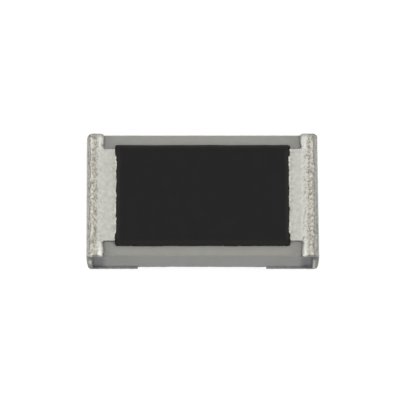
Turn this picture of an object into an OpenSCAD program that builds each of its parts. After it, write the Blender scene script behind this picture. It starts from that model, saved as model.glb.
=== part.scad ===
// Thick-film chip resistor, 1.6 x 0.85 mm case, with C-shaped end terminations.
// X runs along the chip, Y across it and Z up. The origin is the centre of the chip.

/* [Ceramic substrate] */
// Length of the ceramic slab
substrate_length = 1.554; // [1.4:0.002:1.8]
// Width of the ceramic slab
substrate_width = 0.85; // [0.7:0.01:1.05]
// Thickness of the ceramic slab
substrate_thickness = 0.384; // [0.28:0.002:0.55]
// Bevel that scoring leaves along every level edge
score_bevel = 0.006; // [0.003:0.001:0.012]
// Chamfer on the four upright corners
corner_chamfer = 0.007; // [0.004:0.001:0.014]

/* [Printed electrodes] */
// How far a top electrode reaches in from the end of the ceramic
top_electrode_reach = 0.265; // [0.22:0.005:0.36]
// Bare ceramic left along each side of a top electrode
top_electrode_setback = 0.112; // [0.08:0.002:0.2]
// Thickness of a top electrode
top_electrode_thickness = 0.01; // [0.006:0.001:0.014]
// How far a bottom electrode reaches in from the end of the ceramic
bottom_electrode_reach = 0.315; // [0.2:0.005:0.4]
// Thickness of a bottom electrode
bottom_electrode_thickness = 0.01; // [0.006:0.001:0.014]

/* [Resistive element] */
// Overlap of the film onto each top electrode
film_overlap = 0.04; // [0.02:0.002:0.06]
// Setback of the film from the sides of the electrodes
film_setback = 0.05; // [0.03:0.005:0.09]
// Thickness of the film
film_thickness = 0.009; // [0.006:0.001:0.012]
// Distance of the trim cut's entry from the middle of the chip
trim_entry = 0.12; // [0.05:0.01:0.3]
// Depth of the trim cut's plunge in from the edge of the film
trim_depth = 0.24; // [0.1:0.01:0.3]
// Length of the trim cut's second leg, along the chip
trim_run = 0.3; // [0.1:0.01:0.5]
// Width of the laser trim cut
trim_width = 0.028; // [0.015:0.001:0.05]

/* [Glass coat] */
// Margin of the glass around the film
glass_margin = 0.012; // [0.006:0.002:0.02]
// Thickness of the glass
glass_thickness = 0.007; // [0.004:0.001:0.01]

/* [Overcoat] */
// Margin of the coat beyond the ends of the glass
coat_end_margin = 0.041; // [0.03:0.001:0.07]
// Margin of the coat beyond the sides of the electrodes
coat_side_margin = 0.0455; // [0.035:0.0005:0.06]
// Cover of the coat above the highest glass
coat_cover = 0.006; // [0.004:0.001:0.014]
// Horizontal run of the coat's sloping edge
coat_edge_run = 0.022; // [0.012:0.001:0.028]
// Corner radius of the coat in plan
coat_corner_radius = 0.014; // [0.004:0.001:0.03]

/* [End electrodes] */
// Thickness of the conductor over the end of the ceramic
end_thickness = 0.011; // [0.008:0.001:0.018]
// Length of the conductor's legs on the top and bottom of the ceramic
end_leg = 0.077; // [0.055:0.001:0.11]

/* [Plating] */
// Thickness of the nickel barrier
nickel_thickness = 0.004; // [0.002:0.001:0.006]
// Thickness of the tin
tin_thickness = 0.008; // [0.005:0.001:0.012]
// Setback of the metal's full creep onto the coat from the sides of the electrode
creep_setback = 0.05; // [0.03:0.005:0.1]
// Share of that creep beside it, where the coat's corners show as ears
ear_creep = 0.25; // [0.1:0.05:0.5]

/* [Hidden] */
$fn = 48;

// Faces of the ceramic
end_x = substrate_length / 2;
side_y = substrate_width / 2;
top_z = substrate_thickness / 2;
bottom_z = -top_z;

// Electrodes, film and glass, each placed from the one before
electrode_x = end_x - top_electrode_reach;
electrode_y = side_y - top_electrode_setback;
electrode_z = top_z + top_electrode_thickness;
bottom_electrode_x = end_x - bottom_electrode_reach;
bottom_electrode_z = bottom_z - bottom_electrode_thickness;
film_x = electrode_x + film_overlap;
film_y = electrode_y - film_setback;
glass_x = film_x + glass_margin;
glass_y = film_y + glass_margin;
glass_height = film_thickness + glass_thickness;

// Overcoat, which covers the glass and the inner ends of the top electrodes
coat_x = glass_x + coat_end_margin;
coat_y = electrode_y + coat_side_margin;
coat_z = electrode_z + glass_height + coat_cover;

// Conductor that wraps the end of the chip
wrap_inner_x = end_x - end_leg;
wrap_outer_x = end_x + end_thickness;
wrap_top_z = electrode_z + end_thickness;
wrap_bottom_z = bottom_electrode_z - end_thickness;
wrap_radius = corner_chamfer + end_thickness;

// Edge that the conductor shows on the ceramic's sides, where it fills the bevels
rim_x = end_x - corner_chamfer;
rim_z = top_z - score_bevel;

// Growth of the metal's surface under the nickel and under the tin
nickel_growth = nickel_thickness;
tin_growth = nickel_thickness + tin_thickness;

// Stretch of the coat's edge that the metal creeps up in full
creep_y = electrode_y - creep_setback;

// How far a cutting shape runs past the face that it cuts, or on into what a layer sits on
run_past = 0.05;

// A shape drawn in X and Y, made solid between two heights
module along_z(low, high) {
    translate([0, 0, low])
        linear_extrude(high - low)
            children();
}

// A shape drawn in X and Z, made solid between two places across the chip
module along_y(low, high) {
    translate([0, high, 0])
        rotate([90, 0, 0])
            linear_extrude(high - low)
                children();
}

// A shape drawn in Y and Z, made solid between two places along the chip
module along_x(low, high) {
    translate([low, 0, 0])
        rotate([90, 0, 90])
            linear_extrude(high - low)
                children();
}

module block(low, high) {
    translate(low)
        cube(high - low);
}

module rect(low, high) {
    translate(low)
        square(high - low);
}

module rounded_rect(low, high, radius) {
    rect(low + [radius, 0], high - [radius, 0]);
    rect(low + [0, radius], high - [0, radius]);
    for (x = [low.x + radius, high.x - radius], y = [low.y + radius, high.y - radius])
        translate([x, y])
            circle(radius);
}

// Block with its edges rounded in all three views
module rounded_block(low, high, radius) {
    intersection() {
        along_z(low.z, high.z)
            rounded_rect([low.x, low.y], [high.x, high.y], radius);
        along_y(low.y, high.y)
            rounded_rect([low.x, low.z], [high.x, high.z], radius);
        along_x(low.x, high.x)
            rounded_rect([low.y, low.z], [high.y, high.z], radius);
    }
}

module chamfered_rect(half, chamfer) {
    difference() {
        rect(-half, half);
        for (x = [-1, 1], y = [-1, 1])
            translate([x * half.x, y * half.y])
                rotate(45)
                    square(chamfer * sqrt(2), center = true);
    }
}

// The right-hand end as drawn, or its mirror image for the left-hand end
module at_end(side) {
    mirror([side == "left" ? 1 : 0, 0, 0])
        children();
}

module both_ends() {
    at_end("left")
        children();
    at_end("right")
        children();
}

// Slab snapped out of a scored sheet
module slab() {
    intersection() {
        along_z(bottom_z, top_z)
            chamfered_rect([end_x, side_y], corner_chamfer);
        along_y(-side_y, side_y)
            chamfered_rect([end_x, top_z], score_bevel);
        along_x(-end_x, end_x)
            chamfered_rect([side_y, top_z], score_bevel);
    }
}

// A layer that takes a sink runs on into the ceramic by that much when it cuts another piece
module top_print(sink = 0) {
    block([electrode_x, -electrode_y, top_z - sink], [end_x, electrode_y, electrode_z]);
}

module bottom_print(sink = 0) {
    intersection() {
        block([bottom_electrode_x, -side_y, bottom_electrode_z], [end_x, side_y, bottom_z + sink]);
        along_z(bottom_electrode_z, bottom_z + sink)
            wrap_plan(0);
    }
}

// Layer of one height above the ceramic that climbs the step onto both top electrodes
module stepped_layer(half_x, half_y, height, sink = 0) {
    step_x = electrode_x - height;
    along_y(-half_y, half_y) {
        rect([-half_x, top_z - sink], [half_x, top_z + height]);
        rect([-half_x, top_z - sink], [-step_x, electrode_z + height]);
        rect([step_x, top_z - sink], [half_x, electrode_z + height]);
    }
}

// L-shaped laser cut through the glass and the film, down to the ceramic
module trim_cut() {
    turn_y = -film_y + trim_depth;
    along_z(top_z - run_past, coat_z + run_past) {
        rect([-trim_entry, -glass_y - run_past], [-trim_entry + trim_width, turn_y]);
        rect([-trim_entry, turn_y - trim_width], [-trim_entry + trim_run, turn_y]);
    }
}

// The glass and all that it covers, with the trim cut through it
module trimmed_stack(sink = 0) {
    difference() {
        stepped_layer(glass_x, glass_y, glass_height, sink);
        trim_cut();
    }
}

// One view of the coat: a low wall as high as the electrodes, then a slope up to the flat top
module coat_profile(half, sink) {
    polygon([
        [-half, top_z - sink],
        [half, top_z - sink],
        [half, electrode_z],
        [half - coat_edge_run, coat_z],
        [-half + coat_edge_run, coat_z],
        [-half, electrode_z]
    ]);
}

module coat_mound(sink = 0) {
    intersection() {
        along_y(-coat_y, coat_y)
            coat_profile(coat_x, sink);
        along_x(-coat_x, coat_x)
            coat_profile(coat_y, sink);
        along_z(top_z - sink, coat_z)
            rounded_rect([-coat_x, -coat_y], [coat_x, coat_y], coat_corner_radius);
    }
}

// The end of the chip in plan, with its metal grown by the plating
module wrap_plan(growth) {
    rounded_rect(
        [bottom_electrode_x - growth, -side_y - growth],
        [wrap_outer_x + growth, side_y + growth],
        wrap_radius + growth
    );
}

// The wrap from the side: a band round the end of the chip
module wrap_band(growth) {
    rounded_rect(
        [wrap_inner_x - growth, wrap_bottom_z - growth],
        [wrap_outer_x + growth, wrap_top_z + growth],
        wrap_radius + growth
    );
}

// The band with the longer bottom leg, open over the bare side of the ceramic
module plated_band(growth) {
    difference() {
        union() {
            wrap_band(growth);
            rect([bottom_electrode_x - growth, bottom_electrode_z - growth], [end_x, 0]);
        }
        rect([0, -rim_z + growth], [rim_x - growth, rim_z - growth]);
    }
}

// A side view of the wrap made solid across the chip, with its edges rounded in the other views
module wrap_solid(growth) {
    intersection() {
        along_y(-side_y - growth, side_y + growth)
            children();
        along_x(0, wrap_outer_x + growth)
            rounded_rect(
                [-side_y - growth, wrap_bottom_z - growth],
                [side_y + growth, wrap_top_z + growth],
                wrap_radius + growth
            );
        along_z(wrap_bottom_z - growth, wrap_top_z + growth)
            wrap_plan(growth);
    }
}

// Pad from its edge on the coat out to the end of the ceramic
module plated_pad(inner_x, half_y, growth) {
    rounded_block(
        [inner_x, -half_y - growth, top_z - run_past],
        [end_x, half_y + growth, electrode_z + growth],
        growth
    );
}

// All the metal at one end, grown evenly by the plating: the wrap, and the pad that runs in to
// the coat and creeps up its edge between the ears
module plated_metal(growth) {
    wrap_solid(growth)
        plated_band(growth);
    plated_pad(coat_x - ear_creep * growth, electrode_y, growth);
    plated_pad(coat_x - growth, creep_y, growth);
}

// What the end conductor is dipped over, as one block with the conductor itself
module dipped_end() {
    wrap_solid(0)
        wrap_band(0);
}

module ceramic_substrate() {
    color([0.59, 0.59, 0.57])
        slab();
}

module top_electrode(side) {
    color([0.78, 0.78, 0.76])
        at_end(side)
            top_print();
}

module bottom_electrode(side) {
    color([0.78, 0.78, 0.76])
        at_end(side)
            bottom_print();
}

module resistive_element() {
    color([0.15, 0.14, 0.14])
        difference() {
            stepped_layer(film_x, film_y, film_thickness);
            both_ends()
                top_print(run_past);
            trim_cut();
        }
}

module glass_coat() {
    color([0.35, 0.42, 0.36])
        difference() {
            trimmed_stack();
            stepped_layer(film_x, film_y, film_thickness, run_past);
            both_ends()
                top_print(run_past);
        }
}

module overcoat() {
    color([0.16, 0.16, 0.16])
        difference() {
            coat_mound();
            trimmed_stack(run_past);
            both_ends()
                top_print(run_past);
        }
}

module end_electrode(side) {
    color([0.62, 0.6, 0.58])
        at_end(side)
            difference() {
                dipped_end();
                slab();
                top_print(run_past);
                bottom_print(run_past);
            }
}

module nickel_barrier(side) {
    color([0.66, 0.65, 0.62])
        at_end(side)
            difference() {
                plated_metal(nickel_growth);
                dipped_end();
                slab();
                top_print(run_past);
                bottom_print(run_past);
                coat_mound(run_past);
            }
}

module tin_plating(side) {
    color([0.75, 0.74, 0.71])
        at_end(side)
            difference() {
                plated_metal(tin_growth);
                plated_metal(nickel_growth);
                slab();
                coat_mound(run_past);
            }
}

ceramic_substrate();
top_electrode("left");  // top_electrode_left
top_electrode("right");  // top_electrode_right
bottom_electrode("left");  // bottom_electrode_left
bottom_electrode("right");  // bottom_electrode_right
resistive_element();
glass_coat();
overcoat();
end_electrode("left");  // end_electrode_left
end_electrode("right");  // end_electrode_right
nickel_barrier("left");  // nickel_barrier_left
nickel_barrier("right");  // nickel_barrier_right
tin_plating("left");  // tin_plating_left
tin_plating("right");  // tin_plating_right
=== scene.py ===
import math

import bmesh
import bpy
import numpy as np
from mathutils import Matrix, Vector, noise


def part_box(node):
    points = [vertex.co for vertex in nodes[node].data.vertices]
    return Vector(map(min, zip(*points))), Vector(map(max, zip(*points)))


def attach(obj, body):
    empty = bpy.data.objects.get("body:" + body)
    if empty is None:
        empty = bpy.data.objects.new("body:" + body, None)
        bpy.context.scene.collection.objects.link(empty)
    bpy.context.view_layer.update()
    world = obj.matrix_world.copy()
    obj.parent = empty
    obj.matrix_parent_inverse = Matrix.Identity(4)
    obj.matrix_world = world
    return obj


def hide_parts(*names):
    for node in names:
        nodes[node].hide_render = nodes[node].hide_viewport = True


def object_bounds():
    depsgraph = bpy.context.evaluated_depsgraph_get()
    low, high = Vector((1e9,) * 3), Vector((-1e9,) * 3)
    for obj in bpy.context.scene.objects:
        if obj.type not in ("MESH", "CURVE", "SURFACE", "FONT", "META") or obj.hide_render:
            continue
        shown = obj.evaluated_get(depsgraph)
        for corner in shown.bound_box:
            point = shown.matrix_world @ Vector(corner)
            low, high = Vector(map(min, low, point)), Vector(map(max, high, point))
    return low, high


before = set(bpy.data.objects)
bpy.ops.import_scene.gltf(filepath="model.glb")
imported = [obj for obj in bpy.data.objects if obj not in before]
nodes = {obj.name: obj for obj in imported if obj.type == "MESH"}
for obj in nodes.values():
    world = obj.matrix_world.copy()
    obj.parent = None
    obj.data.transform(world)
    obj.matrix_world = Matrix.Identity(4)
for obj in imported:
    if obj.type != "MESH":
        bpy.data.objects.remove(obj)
cadLow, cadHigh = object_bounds()
scene = bpy.context.scene
scene.view_settings.view_transform = "Standard"
mm = 0.001  # meshes are worked in millimetres and scaled to metres at the end
print("frame loaded with", len(nodes), "nodes")


# Measures taken from the frame, in millimetres

def nodeBox(name):
    low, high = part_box(name)
    return np.array(low) / mm, np.array(high) / mm


slabLow, slabHigh = nodeBox("ceramic_substrate")
coatLow, coatHigh = nodeBox("overcoat")
endLow, endHigh = nodeBox("end_electrode_right")
padHigh = nodeBox("top_electrode_right")[1]
legLow = nodeBox("bottom_electrode_right")[0]
nickelLow, nickelHigh = nodeBox("nickel_barrier_right")
tinLow, tinHigh = nodeBox("tin_plating_right")


# Small tools for distance fields

def roundRect(u, v, low, high, radius):
    du = np.abs(u - (low[0] + high[0]) / 2) - (high[0] - low[0]) / 2 + radius
    dv = np.abs(v - (low[1] + high[1]) / 2) - (high[1] - low[1]) / 2 + radius
    outside = np.hypot(np.maximum(du, 0), np.maximum(dv, 0))
    return outside + np.minimum(np.maximum(du, dv), 0) - radius


def softMax(a, b, blend):
    # the larger of two distances, with the crease between them rounded over
    h = np.maximum(blend - np.abs(a - b), 0) / blend
    return np.maximum(a, b) + h * h * blend / 4


def softMin(a, b, blend):
    return -softMax(-a, -b, blend)


def smoothStep(low, high, value):
    t = np.clip((value - low) / (high - low), 0, 1)
    return t * t * (3 - 2 * t)


def fadeFrom(place, offsets, value):
    # smooth step between two offsets from a place
    return smoothStep(place + offsets[0], place + offsets[1], value)


def ripple(values, wavelength, seed, span=0.9, samples=721, row=0.37, gain=1.6):
    # slow unsteady wander between about -1 and 1 along one direction
    places = np.linspace(-span, span, samples)
    heights = [noise.noise((p / wavelength, seed, row)) for p in places]
    return np.interp(values, places, heights) * gain


def speckle(points, size, seed, octaves=3, falloff=0.85, finer=2.1):
    # rounded hills and hollows about one size across, between about -0.7 and 0.7
    moved = points / size + seed * np.array((3.1, 1.7, 0.9))  # each seed has a place of its own
    return np.array([noise.fractal(p, falloff, finer, octaves) for p in moved.tolist()])


def hill(value, centre, width):
    return np.exp(-((value - centre) / width) ** 2)


def netMesh(field, low, high, step):
    # one vertex in each cell that the surface crosses, one quad round each crossed grid edge
    axes = [np.arange(low[i] - 2 * step, high[i] + 2.5 * step, step) for i in range(3)]
    value = field(axes[0][:, None, None], axes[1][None, :, None], axes[2][None, None, :])
    inside = value < 0
    size = np.array(value.shape) - 1
    corners = [np.array((i, j, k)) for i in (0, 1) for j in (0, 1) for k in (0, 1)]

    def atCorner(grid, c):
        return grid[c[0]:c[0] + size[0], c[1]:c[1] + size[1], c[2]:c[2] + size[2]]

    filled = sum(atCorner(inside, c).astype(np.int8) for c in corners)
    mixed = (filled > 0) & (filled < 8)
    cells = np.argwhere(mixed)
    index = np.full(mixed.shape, -1)
    index[mixed] = np.arange(len(cells))
    total = np.zeros((len(cells), 3))
    hits = np.zeros(len(cells))
    for a in corners:
        for axis in range(3):
            if a[axis]:
                continue
            b = a.copy()
            b[axis] = 1
            va = atCorner(value, a)[mixed]
            vb = atCorner(value, b)[mixed]
            crossed = (va < 0) != (vb < 0)
            point = np.repeat(a[None, :].astype(float), len(cells), 0)
            point[crossed, axis] = va[crossed] / (va[crossed] - vb[crossed])
            total[crossed] += point[crossed]
            hits[crossed] += 1
    start = np.array([axis[0] for axis in axes])
    points = start + step * (cells + total / hits[:, None])
    quads = []
    for axis in range(3):
        u, v = (axis + 1) % 3, (axis + 2) % 3
        lower = np.take(inside, range(size[axis]), axis)
        upper = np.take(inside, range(1, size[axis] + 1), axis)
        at = np.argwhere(lower != upper)
        goesOut = lower[tuple(at.T)]
        stepU, stepV = np.eye(3, dtype=int)[u], np.eye(3, dtype=int)[v]
        ring = [index[tuple((at - s).T)] for s in (0 * stepU, stepU, stepU + stepV, stepV)]
        quad = np.stack(ring, 1)
        quad[~goesOut] = quad[~goesOut][:, ::-1]
        quads.append(quad)
    return points, np.concatenate(quads)


def settle(points, field, passes=2, reach=0.0005, ease=0.8, flattest=0.3):
    # pulls the vertices onto the field's zero level and returns their outward normals
    for turn in range(passes + 1):
        x, y, z = points.T
        here = field(x, y, z)
        slope = np.stack([
            field(x + reach, y, z) - here,
            field(x, y + reach, z) - here,
            field(x, y, z + reach) - here,
        ], 1) / reach
        length = np.maximum(np.linalg.norm(slope, axis=1, keepdims=True), flattest)
        normals = slope / length
        if turn < passes:
            points = points - normals * (here[:, None] / length) * ease
    return points, normals


# Small tools for meshes

def meshObject(name, points, faces):
    mesh = bpy.data.meshes.new(name)
    mesh.from_pydata(points.tolist(), [], faces.tolist())
    mesh.validate()
    piece = bpy.data.objects.new(name, mesh)
    scene.collection.objects.link(piece)
    return piece


def solidCopy(node):
    # a welded copy of a CAD node in millimetres, to carve with
    mesh = nodes[node].data.copy()
    bm = bmesh.new()
    bm.from_mesh(mesh)
    bmesh.ops.scale(bm, vec=Vector((1, 1, 1)) / mm, verts=bm.verts)
    bmesh.ops.remove_doubles(bm, verts=bm.verts, dist=2e-5)
    bm.to_mesh(mesh)
    bm.free()
    copy = bpy.data.objects.new("cutter", mesh)
    scene.collection.objects.link(copy)
    return copy


def carve(piece, cutters):
    for cutter in cutters:
        cut = piece.modifiers.new("carve", "BOOLEAN")
        cut.operation = "DIFFERENCE"
        cut.solver = "MANIFOLD"
        cut.object = cutter
    graph = bpy.context.evaluated_depsgraph_get()
    carved = bpy.data.meshes.new_from_object(piece.evaluated_get(graph))
    piece.modifiers.clear()
    piece.data = carved


def drop(objects):
    for obj in objects:
        bpy.data.objects.remove(obj)


def meshPoints(piece):
    flat = np.empty(len(piece.data.vertices) * 3)
    piece.data.vertices.foreach_get("co", flat)
    return flat.reshape(-1, 3)


def paintPoints(piece, name, values):
    layer = piece.data.attributes.new(name, "FLOAT", "POINT")
    layer.data.foreach_set("value", np.asarray(values, dtype=np.float32))


def finishPiece(piece, node, material, sharpAngle=48):
    mesh = piece.data
    mesh.transform(((mm, 0, 0, 0), (0, mm, 0, 0), (0, 0, mm, 0), (0, 0, 0, 1)))
    mesh.polygons.foreach_set("use_smooth", [True] * len(mesh.polygons))
    mesh.set_sharp_from_angle(angle=math.radians(sharpAngle))
    mesh.materials.clear()
    mesh.materials.append(material)
    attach(piece, "root")
    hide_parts(node)
    print(piece.name, "has", len(mesh.polygons), "faces")


# Shader tools

mixFirst, mixSecond, mixResult = 6, 7, 2  # colour sockets of a Mix node


def addNode(tree, kind, inputs=None, **settings):
    node = tree.nodes.new("ShaderNode" + kind)
    for key, value in settings.items():
        setattr(node, key, value)
    for key, value in (inputs or {}).items():
        node.inputs[key].default_value = value
    return node


def join(tree, source, output, target, socket):
    tree.links.new(source.outputs[output], target.inputs[socket])


def newGroup(name, inputs, outputs):
    tree = bpy.data.node_groups.new(name, "ShaderNodeTree")
    for label, kind, value in inputs:
        socket = tree.interface.new_socket(label, in_out="INPUT", socket_type="NodeSocket" + kind)
        socket.default_value = value
    for label, kind in outputs:
        tree.interface.new_socket(label, in_out="OUTPUT", socket_type="NodeSocket" + kind)
    return tree, tree.nodes.new("NodeGroupInput"), tree.nodes.new("NodeGroupOutput")


def useGroup(tree, group, inputs):
    return addNode(tree, "Group", inputs, node_tree=group)


def makeGrainGroup():
    # pebbly surface: rounded grains over swells about three times as wide
    tree, start, end = newGroup(
        "surfaceGrain",
        [("Grains per metre", "Float", 1e5), ("Swell", "Float", 0.4)],
        [("Height", "Float"), ("Grain", "Float")],
    )
    place = addNode(tree, "TexCoord")
    cells = addNode(tree, "TexVoronoi", {"Randomness": 1.0}, feature="SMOOTH_F1")
    swell = addNode(tree, "TexNoise", {"Detail": 3.0, "Roughness": 0.6})
    slower = addNode(tree, "Math", {1: 0.35}, operation="MULTIPLY")
    blend = addNode(tree, "Mix")
    join(tree, start, "Grains per metre", cells, "Scale")
    join(tree, start, "Grains per metre", slower, 0)
    join(tree, slower, 0, swell, "Scale")
    join(tree, place, "Object", cells, "Vector")
    join(tree, place, "Object", swell, "Vector")
    join(tree, start, "Swell", blend, "Factor")
    join(tree, cells, "Distance", blend, "A")
    join(tree, swell, "Fac", blend, "B")
    join(tree, blend, "Result", end, "Height")
    join(tree, cells, "Distance", end, "Grain")
    return tree


def makeToneGroup():
    # two tones of one finish, drifting into each other in soft patches
    tree, start, end = newGroup(
        "toneDrift",
        [
            ("Patches per metre", "Float", 2e4),
            ("First tone", "Color", (0.5, 0.5, 0.5, 1)),
            ("Second tone", "Color", (0.6, 0.6, 0.6, 1)),
        ],
        [("Color", "Color")],
    )
    place = addNode(tree, "TexCoord")
    patch = addNode(tree, "TexNoise", {"Detail": 4.0, "Roughness": 0.62})
    spread = addNode(tree, "MapRange", {"From Min": 0.3, "From Max": 0.7})
    tones = addNode(tree, "Mix", data_type="RGBA")
    join(tree, place, "Object", patch, "Vector")
    join(tree, start, "Patches per metre", patch, "Scale")
    join(tree, patch, "Fac", spread, "Value")
    join(tree, spread, "Result", tones, "Factor")
    join(tree, start, "First tone", tones, mixFirst)
    join(tree, start, "Second tone", tones, mixSecond)
    join(tree, tones, mixResult, end, "Color")
    return tree


def makePoreGroup():
    # scattered pinholes, 1 in a hole and 0 between
    tree, start, end = newGroup(
        "pinholes",
        [("Holes per metre", "Float", 3e4), ("Hole size", "Float", 0.2)],
        [("Mask", "Float")],
    )
    place = addNode(tree, "TexCoord")
    holes = addNode(tree, "TexVoronoi", {"Randomness": 1.0})
    edge = addNode(tree, "MapRange", {"To Min": 1.0, "To Max": 0.0}, interpolation_type="SMOOTHSTEP")
    join(tree, place, "Object", holes, "Vector")
    join(tree, start, "Holes per metre", holes, "Scale")
    join(tree, start, "Hole size", edge, "From Max")
    join(tree, holes, "Distance", edge, "Value")
    join(tree, edge, "Result", end, "Mask")
    return tree


surfaceGrain = makeGrainGroup()
toneDrift = makeToneGroup()
pinholes = makePoreGroup()


def newMaterial(name, inputs):
    material = bpy.data.materials.new(name)
    material.use_nodes = True
    tree = material.node_tree
    shader = tree.nodes["Principled BSDF"]
    for key, value in inputs.items():
        shader.inputs[key].default_value = value
    return material, tree, shader


# A look holds the shader's settings, the patches, pores and grains per metre, the bump in metres, and in
# order what is painted over the tones: a painted place or the pores, a tone or two, and how they are mixed

def toneSocket(tree, look):
    first, second = look["tones"]
    group = useGroup(tree, toneDrift, {
        "Patches per metre": look["patches"],
        "First tone": (*first, 1),
        "Second tone": (*second, 1),
    })
    return group.outputs["Color"]


def maskSocket(tree, name, look):
    if name == "pores":
        return useGroup(tree, pinholes, look["pores"]).outputs["Mask"]
    return addNode(tree, "Attribute", attribute_name=name).outputs["Fac"]


def blendColour(tree, mask, colour, tone, how):
    blend = addNode(tree, "Mix", data_type="RGBA", blend_type=how)
    tree.links.new(mask, blend.inputs["Factor"])
    tree.links.new(colour, blend.inputs[mixFirst])
    if isinstance(tone, dict):
        tree.links.new(toneSocket(tree, tone), blend.inputs[mixSecond])
    else:
        blend.inputs[mixSecond].default_value = (*tone, 1)
    return blend.outputs[mixResult]


def makeMaterial(name, look):
    material, tree, shader = newMaterial(name, look["shader"])
    colour = toneSocket(tree, look)
    for place, tone, how in look.get("paint", ()):
        colour = blendColour(tree, maskSocket(tree, place, look), colour, tone, how)
    smooth, rough = look["roughness"]
    grain = useGroup(tree, surfaceGrain, {"Grains per metre": look["grains"], "Swell": look["swell"]})
    spread = addNode(tree, "MapRange", {"To Min": smooth, "To Max": rough})
    bump = addNode(tree, "Bump", {"Distance": look["bump"]})
    tree.links.new(colour, shader.inputs["Base Color"])
    join(tree, grain, "Grain", spread, "Value")
    join(tree, spread, "Result", shader, "Roughness")
    join(tree, grain, "Height", bump, "Height")
    join(tree, bump, "Normal", shader, "Normal")
    return material


# Ceramic slab

alumina = {
    "spacing": 0.010,  # mm between vertices
    "edge": 0.0035,  # rounding of the snapped edges
    "edgeRing": 0.4,  # share of it at which an extra row of vertices lies
    "facing": (0.3, 0.7),  # how far a face has to look sideways to count as a side
    "scribeShare": 0.36,  # upper share of a side that the scribe cut cleanly
    "scribeWander": 0.012,  # unsteadiness of the line below it
    "scribeWave": (0.11, 4.1),  # wavelength and seed of that
    "scribeDepth": 0.0008,  # streaks of the scribed part
    "breakDepth": 0.0022,  # roughness of the broken part
    "breakSink": 0.5,  # and the share of it by which that part lies deeper
    "brokenTop": 0.25,  # strength of the broken part's tone at its upper line
    "chipDepth": 0.004, "chipFrom": 0.28, "chipSlant": 0.25,  # chips along the edges
    "swell": 0.0003,  # slow unevenness of all faces
    "noise": {  # stretch along Z, size in mm, seed and octaves
        "swell": (1, 0.06, 7.7, 1),
        "scribed": (0.08, 0.011, 2.9, 1),
        "broken": (1.6, 0.05, 1.3, 4),
        "chips": (1, 0.035, 5.2, 3),
    },
    "edgeSlant": (0.1, 0.4),  # slant of what is painted as an edge
    "rimReach": (-0.03, 0.0),  # yellower rim of the top with painted shade, from the side
    "rimShares": (1.0, 0.5),  # and its strength at the front and back, higher at the front for more painted shade
    "film": {  # thin grey film next to the metal, with painted shade at its foot, next to the end, on the top and along the coat, in mm from the middle
        "start": 0.677, "edge": 0.028,
        "wander": 0.5,  # share of that edge
        "tilt": 3,  # how much quicker it wanders along Z than along Y
        "wave": (0.08, 6.6),
        "onSide": 0.69,  # strength on the sides
        "full": 0.95,  # strength of the painted shade and dirt at its foot, and of the painted shade next to the end
        "footX": (0.66, 0.73), "footZ": (-0.04, -0.16),
        "endX": (0.738, 0.756), "endShare": 0.8,
        "faintShade": 0.085, "faintShadeX": (0.42, 0.56),  # faint painted shade before it starts
        "onTop": 0.19, "topX": (0.56, 0.69),  # painted shade on the top towards the ends
        "byCoat": 0.09, "byCoatReach": (0.03, 0.0),  # and painted shade along the coat
    },
    "look": {
        "shader": {
            "Subsurface Weight": 1.0,
            "Subsurface Radius": (1.0, 0.86, 0.72),
            "Subsurface Scale": 0.000035,  # metres that light spreads inside
            "Specular IOR Level": 0.3,
            "IOR": 1.5,
        },
        "tones": ((0.382, 0.381, 0.356), (0.407, 0.406, 0.380)),
        "patches": 1.6e4,
        "pores": {"Holes per metre": 5e4, "Hole size": 0.12},
        "paint": (
            ("pores", (0.72, 0.71, 0.69), "MULTIPLY"),
            ("side", (0.90, 0.89, 0.875), "MULTIPLY"),
            ("broken", (1.055, 1.08, 1.19), "MULTIPLY"),
            # yellower rim with painted shade, stronger at the front
            ("rim", (0.95, 0.938, 0.885), "MULTIPLY"),
            ("scribe", (0.90, 0.88, 0.80), "MULTIPLY"),
            # grey film with painted shade at its foot, next to the end, on the top and along the coat
            ("endFilmAndShade", (0.18, 0.19, 0.25), "MULTIPLY"),
        ),
        "grains": 2.2e5, "swell": 0.35, "roughness": (0.5, 0.7), "bump": 1.2e-6,
    },
}


def slabLines(low, high, edge, spacing):
    count = max(2, round((high - low - 2 * edge) / spacing))
    inner = np.linspace(low + edge, high - edge, count + 1)
    ring = edge * alumina["edgeRing"]
    return np.concatenate([[low, low + ring], inner, [high - ring, high]])


def slabSurface(low, high, edge, spacing):
    # grid on each face of the box, welded, with the edges rounded over
    lines = [slabLines(low[i], high[i], edge, spacing) for i in range(3)]
    points, faces, count = [], [], 0
    for axis in range(3):
        u, v = (axis + 1) % 3, (axis + 2) % 3
        for value, outward in ((low[axis], False), (high[axis], True)):
            gridU, gridV = np.meshgrid(lines[u], lines[v], indexing="ij")
            face = np.zeros((gridU.size, 3))
            face[:, axis] = value
            face[:, u] = gridU.ravel()
            face[:, v] = gridV.ravel()
            index = count + np.arange(gridU.size).reshape(gridU.shape)
            quad = np.stack([index[:-1, :-1], index[1:, :-1], index[1:, 1:], index[:-1, 1:]], -1)
            quad = quad.reshape(-1, 4)
            faces.append(quad if outward else quad[:, ::-1])
            points.append(face)
            count += len(face)
    points = np.concatenate(points)
    faces = np.concatenate(faces)
    _, first, where = np.unique(np.round(points, 6), axis=0, return_index=True, return_inverse=True)
    points = points[first]
    faces = np.ravel(where)[faces]
    core = np.clip(points, low + edge, high - edge)
    away = points - core
    length = np.maximum(np.linalg.norm(away, axis=1, keepdims=True), 1e-9)
    normals = away / length
    return core + normals * np.minimum(length, edge), normals, faces


def slabNoise(points, kind):
    stretch, size, seed, octaves = alumina["noise"][kind]
    return speckle(points * (1, 1, stretch), size, seed, octaves)


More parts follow.
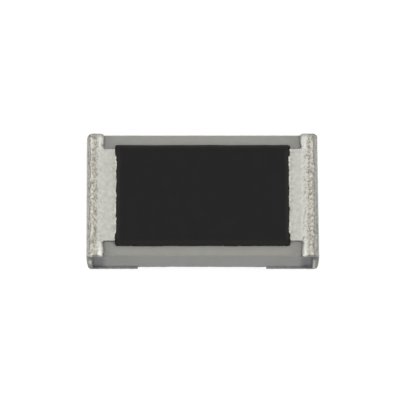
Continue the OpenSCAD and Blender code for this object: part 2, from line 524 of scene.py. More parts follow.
def slabFilmAndShade(points, onSide):
    # strength of the grey film on the sides with its painted shade, and of the painted shade on the top
    x, y, z = points.T
    film = alumina["film"]
    away = np.abs(x)
    startX = film["start"] + film["wander"] * film["edge"] * ripple(z * film["tilt"] + y, *film["wave"])
    shown = fadeFrom(startX, (-film["edge"], film["edge"]), away)
    foot = smoothStep(*film["footZ"], z) * smoothStep(*film["footX"], away)
    foot = np.maximum(foot, film["endShare"] * smoothStep(*film["endX"], away))
    strength = film["onSide"] + (film["full"] - film["onSide"]) * foot
    faintShade = film["faintShade"] * smoothStep(*film["faintShadeX"], away)
    topShade = film["onTop"] * smoothStep(*film["topX"], away)
    topShade = topShade + film["byCoat"] * smoothStep(*film["byCoatReach"], coatPlan(x, y))
    return np.maximum(shown * strength, faintShade) * onSide + topShade * (1 - onSide)


def makeSlab():
    points, normals, faces = slabSurface(slabLow, slabHigh, alumina["edge"], alumina["spacing"])
    x, y, z = points.T
    facing = np.abs(normals)
    onSide = smoothStep(*alumina["facing"], facing[:, 1])
    snapped = np.maximum(facing[:, 0], facing[:, 1]) > alumina["facing"][0]
    slanted = np.sort(facing, axis=1)[:, 1]
    scribeZ = slabHigh[2] - alumina["scribeShare"] * (slabHigh[2] - slabLow[2])
    wander = alumina["scribeWander"]
    line = scribeZ + wander * ripple(x + y, *alumina["scribeWave"])
    broken = fadeFrom(line, (wander, -wander), z) * snapped
    lift = alumina["swell"] * slabNoise(points, "swell")
    lift += broken * alumina["breakDepth"] * (slabNoise(points, "broken") - alumina["breakSink"])
    lift += (snapped - broken) * alumina["scribeDepth"] * slabNoise(points, "scribed")
    nicks = np.maximum(slabNoise(points, "chips") - alumina["chipFrom"], 0)
    lift -= (slanted > alumina["chipSlant"]) * alumina["chipDepth"] * nicks
    piece = meshObject("aluminaSlab", points + normals * lift[:, None], faces)
    depth = alumina["brokenTop"] + (1 - alumina["brokenTop"]) * smoothStep(line, slabLow[2], z)
    rim = fadeFrom(slabHigh[1], alumina["rimReach"], np.abs(y)) * np.where(y < 0, *alumina["rimShares"])
    scribe = smoothStep(*alumina["edgeSlant"], slanted) * (facing[:, 1] > alumina["edgeSlant"][0])
    # grey film with painted shade near the metal and along the coat
    paintPoints(piece, "endFilmAndShade", slabFilmAndShade(points, onSide))
    paintPoints(piece, "side", onSide)
    paintPoints(piece, "broken", broken * depth)
    # yellower rim with painted shade, stronger at the front
    paintPoints(piece, "rim", rim * (1 - onSide))
    paintPoints(piece, "scribe", scribe)
    return piece


# Black resin coat

resin = {
    "step": 0.0055,  # mm between vertices
    "cornerRadius": 0.016,
    "soften": 0.007,  # rounding of the creases
    "outlineWander": 0.0016,
    "outlineWaves": ((0.07, 3.2), (0.09, 8.7)),  # wavelength and seed along the ends and the sides
    "backShort": 0.003,  # how much less the print reaches at the back
    "bays": {  # places, widths and depths along the ends where the metal reaches further in
        "left": ((0.212, 0.045, 0.0050), (0.035, 0.045, -0.0026)),
        "right": ((0.255, 0.035, 0.0058), (-0.103, 0.032, -0.0068)),
    },
    "swell": 0.0006,  # slow unevenness of the top
    "swellNoise": (0.12, 2.0),  # size and seed of it
    "topFacing": 0.3,
    "edgeFade": (-0.042, -0.012),  # where the print thins out, from the outline
    "edgeShare": 0.5,  # share of its tone away from the metal
    "byMetal": (-0.06, -0.03),  # from the coat's ends
    "look": {
        "shader": {"Specular IOR Level": 0.14, "IOR": 1.5},
        "tones": ((0.0088, 0.0088, 0.0087), (0.0108, 0.0108, 0.0107)),
        "patches": 9e3,
        "paint": (("thinEdge", (0.0300, 0.0285, 0.0238), "MIX"),),  # paler and browner
        "grains": 1.5e5, "swell": 0.6, "roughness": (0.42, 0.55), "bump": 5e-7,
    },
}


def endBays(y, end):
    return sum(depth * hill(y, place, width) for place, width, depth in resin["bays"][end])


def coatPlan(x, y):
    wander = resin["outlineWander"]
    alongEnds, alongSides = resin["outlineWaves"]
    short = np.where(x > 0, np.maximum(endBays(y, "right"), 0), -np.maximum(endBays(y, "left"), 0))
    px = x + wander * ripple(y, *alongEnds) + short
    py = y + wander * ripple(x, *alongSides)
    corner = (coatHigh[0], coatHigh[1] - resin["backShort"])
    return roundRect(px, py, coatLow[:2], corner, resin["cornerRadius"])


def coatField(x, y, z):
    plan = coatPlan(x, y)
    wallTop = padHigh[2]
    slope = (plan + z - wallTop) / math.sqrt(2)
    mound = softMax(np.maximum(plan, coatLow[2] - z), slope, resin["soften"])
    return softMax(mound, z - coatHigh[2], resin["soften"])


def makeCoat():
    points, faces = netMesh(coatField, coatLow, coatHigh, resin["step"])
    points, normals = settle(points, coatField)
    swell = speckle(points * (1, 1, 0), *resin["swellNoise"]) * (normals[:, 2] > resin["topFacing"])
    points = points + normals * resin["swell"] * swell[:, None]
    points[:, 2] = np.maximum(points[:, 2], coatLow[2])
    return meshObject("resinCoat", points, faces)


def paintCoat(piece):
    x, y = meshPoints(piece).T[:2]
    share = resin["edgeShare"]
    byMetal = fadeFrom(coatHigh[0], resin["byMetal"], np.abs(x)) * (np.abs(y) < padHigh[1])
    thin = smoothStep(*resin["edgeFade"], coatPlan(x, y)) * (share + (1 - share) * byMetal)
    paintPoints(piece, "thinEdge", thin)


# Tin skins of the two terminations, worked out at the right-hand end and mirrored for the left one

tin = {
    "step": 0.0045,  # mm between vertices
    "coreStep": 0.008,  # and between those of the block under the skin
    "margin": 0.02,  # mm of room for an inner edge that leans in past its solid
    "clearance": 0.0015, "clearPasses": 3,  # least thickness over the nickel, and how often it is made good
    "seed": {"left": 11.0, "right": 23.0},
    "draws": {"nodule": 2, "lip": 3, "mottle": 4, "groove": 7, "seam": 9},  # added to the seed
    "wrapRadius": 0.018,  # rounding of the dipped end under the plating
    "form": {
        "drift": 1.0,  # share of the lean, wander and reach below
        "soften": 0.008,  # rounding of the creases
        "cornerRadius": (0.046, 0.035),  # rounding of the back and front corners seen from above
        "frontRadius": 0.014,  # rounding of the long edges at front and back
        "bandCorner": 0.034,  # rounding of the wrap's inner corners
        "dome": 0.0065,  # how much narrower the wrap is at its inner edge
    },
    "underForm": {"drift": 0.0, "soften": 0.001, "bandCorner": 0.002, "dome": 0.0},  # the nickel's
    "domeLength": 0.03,
    "rimInset": (0.007, 0.006),  # bare edge of the ceramic's sides that the metal fills, along X and Z
    "legReach": {"left": 0.0, "right": 0.009},  # how much further a leg reaches in
    "edge": {  # inner edge of the wrap
        "wander": 0.003, "wave": 0.085,
        "depth": 0.07,  # how far from the edge the metal follows it
        "slant": {"left": (-0.015, -0.014), "right": (-0.032, -0.008)},  # lean, at the back and front
        "neck": {"left": (0.007, 0.007), "right": (0.013, 0.007)},  # how much it draws back by the pad
        "neckPlace": 0.013, "neckWidth": 0.014,  # of that, from the pad's side
    },
    "pad": {
        "rounding": 0.006,
        "blend": 0.012,  # fillet between the pad and the wrap
        "depth": 0.05,  # how far its block goes down into the slab
        "back": 0.0025,  # how much further it reaches at the back
        "ramp": 0.22,  # slope by which the wrap comes down to it
        "rampLift": 0.02, "rampSides": (-0.012, 0.02),  # how much higher that slope lies beside it
    },
    "creep": {  # edge on the coat
        "wander": 0.005,
        "waves": ((1.0, 0.045, 5), (0.8, 0.018, 6)),  # share, wavelength and draw
        "depth": 0.03,  # how far from the edge the metal follows it
        "setback": 0.05,  # from the pad's sides to where the metal has crept over the coat
        "ears": 0.25,  # share of that creep left beside it
        "calm": 0.6, "calmSides": (-0.02, 0.005),  # how much steadier it is there
    },
    "ends": {  # end faces
        "bulge": 0.005, "halfHeight": 0.21,  # swell at half height
        "slant": {"left": (0.0, 0.0), "right": (-0.009, 0.0025)},  # lean, at the back and front
        "facing": (0.3, 0.8),
    },
    "zones": {  # where the parts of the skin begin and end
        "topZ": (0.185, 0.205), "padSides": (-0.004, 0.02),
        "quietY": (0.405, 0.428), "quiet": 0.85,  # long edges, where the relief dies down
        "beadX": (0.684, 0.700),  # smooth bead along the inner edge
        "beadShift": 0.008,  # how much further in it starts beside the pad
        "groove": 0.727, "grooveFade": (-0.005, 0.005),  # line between that bead and the rough part
        "seam": {"left": 0.780, "right": 0.770},  # fold between the rough part and the outer strip
        "seamFade": (-0.005, 0.004), "sideFade": (-0.003, 0.004),
        "cornerY": (0.385, 0.42), "cornerX": (0.75, 0.775),
        "columnX": (0.735, 0.755), "columnZ": (0.20, 0.17),  # bead down the sides
    },
    "folds": {
        "follow": 0.6,  # share of the inner edge's wander that they follow
        "seamWander": 0.004, "seamWave": 0.05,
        "seamDepth": 0.0042, "seamWidth": 0.0045,
        "grooveDepth": 0.003, "grooveWidth": 0.0048,
        "grooveWave": 0.022, "grooveGaps": (0.1, 0.5),  # by the pad the groove comes and goes
        "crest": 0.0016,
        "crestPlace": -0.010, "crestWidth": 0.006,  # from the seam
        "bead": 0.0024, "beadPlace": 0.708, "beadWidth": 0.010,
        "beadByPad": 0.3,  # share of the bead left by the pad
        "lip": 0.0024,  # raised rim on the coat
        "lipPlace": -0.004, "lipWidth": 0.006,  # from the coat's end
        "lipWave": 0.02, "lipLevels": (0.7, 0.6),  # its steady and its unsteady share
    },
    "lumps": {
        "height": 0.0064, "size": 0.019,
        "nodule": 0.0036, "noduleSize": 0.0105,
        "limits": (-0.0065, 0.006),  # deepest and highest relief
        "shares": {"pad": 0.18, "bead": 0.3, "rough": 1.0, "strip": 0.5, "ends": 0.25, "column": 1.1},
        "byPad": {"left": 0.3, "right": 0.6},  # share on the bead where the pad joins it
    },
    "mottleSize": 0.017, "mottle": (-0.25, 0.3),
    "shine": {  # strength and place of the painted highlights
        "bead": 0.5,
        "ramp": {"left": 0.13, "right": 0.26},
        "rampX": (0.668, 0.690),
        "crest": {"left": 0.36, "right": 0.28},
        "crestInset": {"left": 0.014, "right": 0.019},  # from the seam
        "tip": {"left": 0.5, "right": 0.25},  # front end of the bead
        "tipY": (0.36, 0.41), "tipX": (0.726, 0.717),
        "rimGlints": 0.6, "rimGlintsPlace": -0.003, "rimGlintsGaps": (0.0, 0.5),  # painted glints on the rim on the coat
    },
    "hollowShade": {  # and of the painted shade, with dirt in the pits
        "pitDepth": (-0.0004, -0.0034),
        "seam": {"left": 0.6, "right": 0.95},
        "valley": 0.42,  # line behind the crest
        "valleyInset": 0.0355, "valleyWidth": 0.010,  # from the seam
        "rim": 0.5, "rimPlace": 0.006, "rimWidth": 0.014,  # mottled painted shade next to the coat
        "groove": {"left": (0.728, 0.95), "right": (0.740, 0.7)},  # place and strength at the front
        "grooveWidth": 0.0045, "grooveY": (0.37, 0.41),
    },
    "column": {  # bead down the sides, with a painted highlight on its core
        "x": {"left": 0.7785, "right": 0.7715},
        "width": 0.009, "topZ": (0.11, 0.06),
        "glow": (0.42, 0.40),  # steady and mottled share
        "outer": 0.18, "outerX": (0.758, 0.768),  # painted highlight beside it
        "spot": {"left": 0.5, "right": 0.0},
        "spotZ": (0.005, 0.035),  # place and width
        "fade": {"left": 0.5, "right": 0.0},  # how much the core dims below the spot
        "fadeZ": (-0.01, -0.05),
        "corner": 0.92,  # shade round the corner
    },
    "leg": {  # shade on the sides of the legs
        "low": 0.43, "high": 0.47,
        "lipZ": (-0.207, -0.192),
        "inner": 0.75, "outX": (0.64, 0.74),  # share of it at the inner end
    },
    "stripShade": {"left": 0.08, "right": 0.21},
    "rims": {  # shade on the long edges of the top
        "back": {"left": 0.38, "right": 0.34},
        "backY": (0.396, 0.420),
        "front": 0.58, "frontY": (0.430, 0.434),
        "frontEdge": 0.38, "frontEdgeY": (0.429, 0.435),
        "frontZ": (0.165, 0.185),
        "frontShadeX": {"left": (0.712, 0.762), "right": (0.724, 0.81)},  # wider stretch of the front shade
        "frontShadeWiden": 0.014, "frontShadeStart": (-0.008, 0.008), "frontShadeEnd": (0.006, -0.006),
        "tip": 0.75,  # inner edge of the bead's tip
        "tipX": {"left": 0.694, "right": 0.689},
        "tipFade": (0.005, -0.005),
        "tipY": (0.410, 0.424),
    },
    "look": {
        "shader": {"Metallic": 1.0},
        "tones": ((0.425, 0.423, 0.384), (0.530, 0.528, 0.489)),
        "patches": 3.2e4,
        "pores": {"Holes per metre": 6e4, "Hole size": 0.16},
        "paint": (
            ("wrapZone", {"tones": ((0.395, 0.380, 0.328), (0.680, 0.670, 0.622)), "patches": 7e4}, "MIX"),
            # painted highlights on the bead, crest, front tip, rim on the coat and bead down the sides
            ("paintedHighlight", (0.800, 0.790, 0.735), "MIX"),
            ("pores", (0.78, 0.76, 0.72), "MULTIPLY"),
            # painted shade in the pits, seam, valley, by the coat and in the front groove, with dirt in the
            # pits
            ("pitDirtAndShade", (0.62, 0.59, 0.53), "MULTIPLY"),
            # painted shade on the legs' sides, the bead down the sides, the outer strip and the long edges
            ("sideAndRimShade", (0.17, 0.173, 0.17), "MULTIPLY"),
        ),
        "grains": 1.7e5, "swell": 0.45, "roughness": (0.34, 0.5), "bump": 1.1e-6,
    },
}


def seedFor(end, draw):
    return tin["seed"][end] + tin["draws"][draw]


def lean(y, slant):
    # from the first value at the back to the second at the front
    back, front = slant
    return front + (back - front) * (y / (2 * slabHigh[1]) + 0.5)


def metalField(growth, end, form):
    # the wrap and pad of the right-hand end, as one block with what they cover
    seed = tin["seed"][end]
    edge, pad, creep = tin["edge"], tin["pad"], tin["creep"]
    drift, soften = form["drift"], form["soften"]
    radius = tin["wrapRadius"] + growth
    innerX = endLow[0] - growth
    legX = legLow[0] - growth - drift * tin["legReach"][end]
    outer = (endHigh[0] + growth, slabHigh[1] + growth, endHigh[2] + growth)
    rimX = slabHigh[0] - tin["rimInset"][0] - growth
    rimZ = slabHigh[2] - tin["rimInset"][1] - growth
    halfY = padHigh[1] + growth
    backY = halfY + drift * pad["back"]
    creepY = halfY - creep["setback"]
    coatX = coatHigh[0]
    earX = coatX - creep["ears"] * growth

    def bentX(x, y):
        bend = edge["wander"] * ripple(y, edge["wave"], seed) - lean(y, edge["slant"][end])
        neck = np.where(y > 0, *edge["neck"][end])
        bend = bend - neck * hill(np.abs(y), halfY + edge["neckPlace"], edge["neckWidth"])
        return x + drift * bend * smoothStep(edge["depth"], 0.0, np.abs(x - endLow[0]))

    def wrapField(x, y, z):
        px = bentX(x, y)
        band = roundRect(px, z, (innerX, -outer[2]), (outer[0], outer[2]), radius)
        halfWidth = outer[1] - form["dome"] * hill(px, innerX, tin["domeLength"])
        ends = roundRect(px, y, (innerX, -outer[1]), (2 * outer[0], outer[1]), form["bandCorner"])
        ends = softMax(ends, np.abs(y) - halfWidth, soften)
        ramp = z - padHigh[2] - growth - pad["ramp"] * (x - innerX)
        beside = pad["rampLift"] * fadeFrom(halfY, pad["rampSides"], np.abs(y))
        band = softMax(softMax(band, ends, soften), ramp - beside, soften)
        leg = np.maximum(legX - x, x - slabHigh[0])
        leg = np.maximum(leg, np.maximum(legLow[2] - growth - z, z))
        window = np.maximum(np.abs(z) - rimZ, x - rimX)
        wrap = softMax(softMin(band, leg, soften), -window, soften)
        across = roundRect(y, z, (-outer[1], -outer[2]), (outer[1], outer[2]), form["frontRadius"])
        corner = np.where(y > 0, *form["cornerRadius"])
        plan = roundRect(x, y, (legX - 2 * corner, -outer[1]), (outer[0], outer[1]), corner)
        return softMax(softMax(wrap, across, soften), plan, soften)

    def padField(x, y, z):
        unsteady = sum(share * ripple(y, wave, seed + draw) for share, wave, draw in creep["waves"])
        unsteady = unsteady * (1 - creep["calm"] * fadeFrom(creepY, creep["calmSides"], np.abs(y)))
        shift = drift * (creep["wander"] * unsteady - endBays(y, end))
        cx = x - shift * smoothStep(creep["depth"], 0.0, np.abs(x - coatX))
        ears = roundRect(cx, y, (earX, -halfY), (slabHigh[0], backY), growth)
        crept = roundRect(cx, y, (coatX - growth, -creepY), (slabHigh[0], creepY), growth)
        block = np.maximum(np.minimum(ears, crept), slabHigh[2] - pad["depth"] - z)
        return softMax(block, z - padHigh[2] - growth, pad["rounding"])

    def field(x, y, z):
        return softMin(wrapField(x, y, z), padField(x, y, z), pad["blend"])

    return field


def tinZones(points, end):
    # shares between 0 and 1 of the zones that a point of the right-hand skin lies in
    x, y, z = points.T
    edge, folds, zones = tin["edge"], tin["folds"], tin["zones"]
    beside = np.abs(y)
    across = x + folds["follow"] * edge["wander"] * ripple(y, edge["wave"], tin["seed"][end])
    folded = x + folds["seamWander"] * ripple(y, folds["seamWave"], seedFor(end, "seam"))
    upper = smoothStep(*zones["topZ"], z)
    below = smoothStep(*zones["topZ"][::-1], z)
    beyondPad = fadeFrom(padHigh[1], zones["padSides"], beside)
    beadLow, beadHigh = [place - zones["beadShift"] * beyondPad for place in zones["beadX"]]
    return {
        "across": across,
        "folded": folded,
        "upper": upper,
        "quiet": 1 - zones["quiet"] * smoothStep(*zones["quietY"], beside),
        "beyondPad": beyondPad,
        "bead": upper * smoothStep(beadLow, beadHigh, across),
        "rough": upper * fadeFrom(zones["groove"], zones["grooveFade"], across),
        "strip": upper * fadeFrom(zones["seam"][end], zones["seamFade"], folded),
        "side": fadeFrom(slabHigh[1], zones["sideFade"], beside) * below,
        "corner": smoothStep(*zones["cornerY"], beside) * below * smoothStep(*zones["cornerX"], x),
        "column": smoothStep(*zones["columnX"], x) * smoothStep(*zones["columnZ"], np.abs(z)),
    }


def tinLumps(points, end, zones):
    lumps = tin["lumps"]
    share = lumps["shares"]
    beadShare = share["bead"] * zones["beyondPad"] + lumps["byPad"][end] * (1 - zones["beyondPad"])
    level = share["pad"] + (beadShare - share["pad"]) * zones["bead"]
    level = level + (share["rough"] - level) * zones["rough"]
    level = level + (share["strip"] - level) * zones["strip"]
    level = level * zones["quiet"]
    level = level * zones["upper"] + share["ends"] * (1 - zones["upper"])
    level = np.maximum(level, share["column"] * zones["side"] * zones["column"])
    coarse = lumps["height"] * speckle(points, lumps["size"], tin["seed"][end])
    fine = lumps["nodule"] * speckle(points, lumps["noduleSize"], seedFor(end, "nodule"), 1)
    return level * (coarse + fine)


def coatRim(points, end, place):
    # nearness to a line along the edge of the metal on the coat
    x, y, z = points.T
    return hill(x + endBays(y, end), coatHigh[0] + place, tin["folds"]["lipWidth"]) * (z > slabHigh[2])


def tinFolds(points, end, zones):
    # the long folds of the top: seam, crest, groove and bead, and the rim on the coat
    y = points[:, 1]
    folds = tin["folds"]
    seamX, grooveX = tin["zones"]["seam"][end], tin["zones"]["groove"]
    across, folded, beyondPad = [zones[k] for k in ("across", "folded", "beyondPad")]
    gaps = smoothStep(*folds["grooveGaps"], ripple(y, folds["grooveWave"], seedFor(end, "groove")))
    byPad = folds["beadByPad"]
    groove = folds["grooveDepth"] * np.maximum(beyondPad, gaps)
    height = -folds["seamDepth"] * hill(folded, seamX, folds["seamWidth"])
    height -= groove * hill(across, grooveX, folds["grooveWidth"])
    height += folds["crest"] * hill(folded, seamX + folds["crestPlace"], folds["crestWidth"])
    bead = folds["bead"] * (byPad + (1 - byPad) * beyondPad)
    height += bead * hill(across, folds["beadPlace"], folds["beadWidth"])
    steady, unsteady = folds["lipLevels"]
    lip = folds["lip"] * coatRim(points, end, folds["lipPlace"])
    lip = lip * (steady + unsteady * ripple(y, folds["lipWave"], seedFor(end, "lip")))
    return height * zones["upper"] * zones["quiet"] + lip


def endSwell(points, normals, end):
    y, z = points.T[1:]
    ends = tin["ends"]
    swell = ends["bulge"] * np.maximum(1 - (z / ends["halfHeight"]) ** 2, 0)
    return (lean(y, ends["slant"][end]) + swell) * smoothStep(*ends["facing"], normals[:, 0])


def tinLight(points, end, zones):
    # painted highlights: inner bead with its ramp and front tip, crest, and glints on the rim on the coat
    y = points[:, 1]
    shine, folds = tin["shine"], tin["folds"]
    across, upper, rough, beyondPad = [zones[k] for k in ("across", "upper", "rough", "beyondPad")]
    inner = zones["bead"] * (1 - rough)
    ramp = upper * smoothStep(*shine["rampX"], across) * (1 - rough) * (1 - beyondPad)
    crestX = tin["zones"]["seam"][end] - shine["crestInset"][end]
    crest = upper * hill(zones["folded"], crestX, folds["crestWidth"])
    tip = inner * smoothStep(*shine["tipY"], -y) * smoothStep(*shine["tipX"], across)
    gaps = smoothStep(*shine["rimGlintsGaps"], ripple(y, folds["lipWave"], seedFor(end, "lip")))
    rimGlints = coatRim(points, end, shine["rimGlintsPlace"]) * gaps
    light = shine["bead"] * inner * beyondPad + shine["ramp"][end] * ramp + shine["crest"][end] * crest
    return light + shine["tip"][end] * tip + shine["rimGlints"] * rimGlints


def tinHollows(points, end, zones, mottle):
    # painted shade in the pits, seam, line behind the crest, stretch next to the coat and groove at the
    # front, with dirt in the pits
    x, y = points.T[:2]
    hollowShade = tin["hollowShade"]
    across, upper = zones["across"], zones["upper"]
    seamX = tin["zones"]["seam"][end]
    grooveX, grooveShade = hollowShade["groove"][end]
    pits = smoothStep(*hollowShade["pitDepth"], tinLumps(points, end, zones))
    seam = hollowShade["seam"][end] * upper * hill(zones["folded"], seamX, tin["folds"]["seamWidth"])
    valley = hollowShade["valley"] * upper * hill(across, seamX - hollowShade["valleyInset"], hollowShade["valleyWidth"])
    rim = hollowShade["rim"] * mottle * upper * hill(x, coatHigh[0] + hollowShade["rimPlace"], hollowShade["rimWidth"])
    groove = grooveShade * upper * hill(across, grooveX, hollowShade["grooveWidth"])
    groove = groove * smoothStep(*hollowShade["grooveY"], -y)
    return np.maximum.reduce([pits, seam, valley, rim, groove])


def tinSpot(points, end, zones):
    # painted highlight on the bead down the side
    x, z = points[:, 0], points[:, 2]
    column = tin["column"]
    core = column["spot"][end] * zones["side"] * hill(x, column["x"][end], column["width"])
    return core * hill(z, *column["spotZ"])


def tinSides(points, end, zones, mottle, spot):
    # shade of the legs' sides and of the bead above them
    x, z = points[:, 0], points[:, 2]
    leg, column = tin["leg"], tin["column"]
    outward = leg["inner"] + (1 - leg["inner"]) * smoothStep(*leg["outX"], x)
    legSide = zones["side"] * (leg["low"] + leg["high"] * smoothStep(*leg["lipZ"], z)) * outward
    core = hill(x, column["x"][end], column["width"]) * smoothStep(*column["topZ"], z)
    core = core * (1 - column["fade"][end] * smoothStep(*column["fadeZ"], z))
    # a painted highlight down the bead's core lessens its painted shade
    steady, mottled = column["glow"]
    glow = column["outer"] * smoothStep(*column["outerX"], x) + (steady + mottled * mottle) * core
    glow = np.minimum(glow + spot, 1)
    columnSide = np.maximum(zones["side"], column["corner"] * zones["corner"]) * (1 - glow)
    return legSide + (columnSide - legSide) * zones["column"]


def tinRims(points, end, zones):
    # shade of the long edges of the top, at the back and front
    x, y, z = points.T
    rims = tin["rims"]
    across = zones["across"]
    shadeFrom, shadeTo = rims["frontShadeX"][end]
    frontLow, frontHigh = rims["frontY"]
    back = rims["back"][end] * smoothStep(*rims["backY"], y) * zones["upper"]
    frontLow = frontLow - rims["frontShadeWiden"] * fadeFrom(shadeFrom, rims["frontShadeStart"], across)
    front = rims["front"] * smoothStep(frontLow, frontHigh, -y)
    front = front + rims["frontEdge"] * smoothStep(*rims["frontEdgeY"], -y)
    front = front * fadeFrom(shadeTo, rims["frontShadeEnd"], across)
    tip = rims["tip"] * smoothStep(*rims["tipY"], -y) * fadeFrom(rims["tipX"][end], rims["tipFade"], x)
    front = np.maximum(front, tip) * smoothStep(*rims["frontZ"], z)
    return np.maximum(back, front)


def paintTin(piece, end):
    points = meshPoints(piece) * (-1 if end == "left" else 1, 1, 1)
    zones = tinZones(points, end)
    mottle = smoothStep(*tin["mottle"], speckle(points, tin["mottleSize"], seedFor(end, "mottle")))
    spot = tinSpot(points, end, zones)
    wrapTop = zones["rough"] * (1 - zones["strip"])
    paintPoints(piece, "wrapZone", np.maximum(wrapTop, zones["column"] * zones["side"]))
    # painted highlights, with the spot on the bead down the side
    paintPoints(piece, "paintedHighlight", tinLight(points, end, zones) + spot)
    # painted shade in the hollows, with dirt in the pits
    paintPoints(piece, "pitDirtAndShade", tinHollows(points, end, zones, mottle))
    # painted shade on the sides, the outer strip and the long edges
    paintPoints(piece, "sideAndRimShade", np.maximum.reduce([
        tinSides(points, end, zones, mottle, spot),
        tin["stripShade"][end] * zones["strip"],
        tinRims(points, end, zones),
    ]))


def makeTin(end, cutters):
    growth = tinHigh[0] - endHigh[0]
    under = nickelHigh[0] - endHigh[0]
    underRadius = tin["wrapRadius"] + under
    underForm = dict(tin["underForm"], frontRadius=underRadius, cornerRadius=(underRadius, underRadius))
    field = metalField(growth, end, tin["form"])
    underField = metalField(under, end, underForm)
    room = (tin["margin"], 0, 0)
    points, faces = netMesh(field, tinLow - room, tinHigh, tin["step"])
    points, normals = settle(points, field)
    zones = tinZones(points, end)
    relief = tinLumps(points, end, zones) + tinFolds(points, end, zones)
    lift = np.clip(relief, *tin["lumps"]["limits"])
    points = points + normals * (lift + endSwell(points, normals, end))[:, None]
    for turn in range(tin["clearPasses"]):
        short = np.maximum(tin["clearance"] - underField(*points.T), 0)
        points = points + normals * short[:, None]
    core, coreFaces = netMesh(underField, nickelLow - room, nickelHigh, tin["coreStep"])
    core = settle(core, underField)[0]
    if end == "left":
        points[:, 0] *= -1
        core[:, 0] *= -1
        faces, coreFaces = faces[:, ::-1], coreFaces[:, ::-1]
    piece = meshObject("tinSkin" + end.capitalize(), points, faces)
    block = meshObject("cutter", core, coreFaces)
    carve(piece, [block] + cutters)
    drop([block])
    paintTin(piece, end)
    return piece


# Layers that the outer pieces cover

layers = {
    "nickel": {
        "nodes": ["nickel_barrier_left", "nickel_barrier_right"],
        "shader": {"Metallic": 1.0},
        "grains": 2.5e5, "swell": 0.4, "patches": 2.5e4, "bump": 5e-7, "roughness": (0.3, 0.42),
        "tones": ((0.58, 0.55, 0.5), (0.62, 0.59, 0.54)),
    },
    "firedSilver": {
        "nodes": [
            "top_electrode_left", "top_electrode_right", "bottom_electrode_left", "bottom_electrode_right",
        ],
        "shader": {"Metallic": 1.0},
        "grains": 1.4e5, "swell": 0.4, "patches": 3e4, "bump": 1.2e-6, "roughness": (0.45, 0.62),
        "tones": ((0.7, 0.69, 0.66), (0.78, 0.77, 0.74)),
    },
    "endConductor": {
        "nodes": ["end_electrode_left", "end_electrode_right"],
        "shader": {"Metallic": 0.8},
        "grains": 1.2e5, "swell": 0.4, "patches": 3e4, "bump": 1.5e-6, "roughness": (0.5, 0.7),
        "tones": ((0.44, 0.43, 0.41), (0.54, 0.53, 0.51)),
    },
    "resistorFilm": {
        "nodes": ["resistive_element"],
        "shader": {"Metallic": 0.0},
        "grains": 1.6e5, "swell": 0.4, "patches": 4e4, "bump": 8e-7, "roughness": (0.5, 0.7),
        "tones": ((0.024, 0.022, 0.022), (0.036, 0.034, 0.033)),
    },
    "trimGlass": {
        "nodes": ["glass_coat"],
        "shader": {"Metallic": 0.0, "Transmission Weight": 0.6, "IOR": 1.52},
        "grains": 6e4, "swell": 0.4, "patches": 2e4, "bump": 3e-7, "roughness": (0.12, 0.2),
        "tones": ((0.19, 0.27, 0.21), (0.22, 0.30, 0.24)),
    },
}


for name, look in layers.items():
    material = makeMaterial(name, look)
    for node in look["nodes"]:
        nodes[node].data.materials.clear()
        nodes[node].data.materials.append(material)
print("inner layers finished")


# The four outer pieces, each carved by what it lies on

underCoat = ("glass_coat", "resistive_element", "top_electrode_left", "top_electrode_right")
slab = makeSlab()
coat = makeCoat()
slabBlock = solidCopy("ceramic_substrate")
moundBlock = bpy.data.objects.new("cutter", coat.data.copy())
scene.collection.objects.link(moundBlock)
tinPieces = {end: makeTin(end, [slabBlock, moundBlock]) for end in ("left", "right")}
under = [solidCopy(node) for node in underCoat]
carve(coat, under)
paintCoat(coat)
drop(under + [slabBlock, moundBlock])
finishPiece(slab, "ceramic_substrate", makeMaterial("alumina", alumina["look"]))
finishPiece(coat, "overcoat", makeMaterial("blackResin", resin["look"]))
tinLook = makeMaterial("matteTin", tin["look"])
for end, piece in tinPieces.items():
    finishPiece(piece, "tin_plating_" + end, tinLook)


# Floor, light and camera

studio = {
    "floorSize": 1.0,  # metres from the middle to a side
    "floorCells": 8,  # along each side
    "floorTone": (0.40, 0.40, 0.40),
    "floorGlow": 0.775,  # what takes the floor up to white in view and in reflections
    # height from straight down to straight up, and the light from there
    "sky": ((0.0, 1.0), (0.54, 1.0), (0.585, 0.5), (0.66, 0.42), (0.78, 0.45), (0.90, 1.25), (1.0, 1.3)),
}


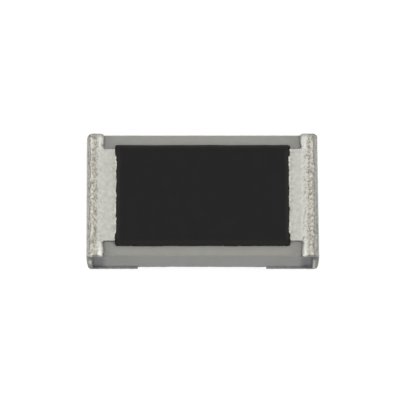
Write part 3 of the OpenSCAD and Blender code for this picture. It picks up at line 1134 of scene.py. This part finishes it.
def makeFloor():
    cells = studio["floorCells"]
    bm = bmesh.new()
    bmesh.ops.create_grid(bm, x_segments=cells, y_segments=cells, size=studio["floorSize"])
    bmesh.ops.translate(bm, vec=(0, 0, cadLow.z), verts=bm.verts)
    mesh = bpy.data.meshes.new("paleFloor")
    bm.to_mesh(mesh)
    bm.free()
    floor = bpy.data.objects.new("paleFloor", mesh)
    scene.collection.objects.link(floor)
    material, tree, shader = newMaterial("palePaper", {
        "Base Color": (*studio["floorTone"], 1),
        "Roughness": 1.0,
        "Specular IOR Level": 0.0,
        "Emission Color": (1, 1, 1, 1),
    })
    rays = addNode(tree, "LightPath")
    seen = addNode(tree, "Math", operation="MAXIMUM")
    shown = addNode(tree, "Math", operation="MAXIMUM")
    glow = addNode(tree, "Math", {1: studio["floorGlow"]}, operation="MULTIPLY")
    join(tree, rays, "Is Camera Ray", seen, 0)
    join(tree, rays, "Is Glossy Ray", seen, 1)
    join(tree, seen, 0, shown, 0)
    join(tree, rays, "Is Transmission Ray", shown, 1)
    join(tree, shown, 0, glow, 0)
    join(tree, glow, 0, shader, "Emission Strength")
    mesh.materials.append(material)


def makeSky():
    # white horizon and overhead softbox, with a greyer ring between them
    world = bpy.data.worlds.new("softTent")
    world.use_nodes = True
    scene.world = world
    tree = world.node_tree
    place = addNode(tree, "TexCoord")
    parts = addNode(tree, "SeparateXYZ")
    height = addNode(tree, "MapRange", {"From Min": -1.0, "From Max": 1.0})
    ramp = addNode(tree, "ValToRGB")
    join(tree, place, "Generated", parts, "Vector")
    join(tree, parts, "Z", height, "Value")
    join(tree, height, "Result", ramp, "Fac")
    stops = ramp.color_ramp.elements
    stops[0].position, stops[1].position = 0.0, 1.0
    while len(stops) < len(studio["sky"]):
        stops.new(0.5)
    for stop, (position, level) in zip(stops, studio["sky"]):
        stop.position = position
        stop.color = (level, level, level, 1)
    join(tree, ramp, "Color", tree.nodes["Background"], "Color")


view = {
    "lens": 630.0,  # mm
    "sensor": 36.0,
    "clip": (0.001, 2.0),  # metres
    "elevation": 77.45,  # degrees above the horizon
    "distance": 0.04849,  # metres from the aim point
    "aim": (-0.0000183, 0.0000102, 0.0),
}


def makeCamera():
    data = bpy.data.cameras.new("camera")
    data.lens = view["lens"]
    data.sensor_width = view["sensor"]
    data.clip_start, data.clip_end = view["clip"]
    camera = bpy.data.objects.new("camera", data)
    scene.collection.objects.link(camera)
    tilt = math.radians(view["elevation"])
    back = Vector((0, -math.cos(tilt), math.sin(tilt)))
    camera.location = Vector(view["aim"]) + back * view["distance"]
    camera.rotation_euler = (-back).to_track_quat("-Z", "Y").to_euler()
    scene.camera = camera


makeFloor()
makeSky()
makeCamera()
print("floor, light and camera placed")
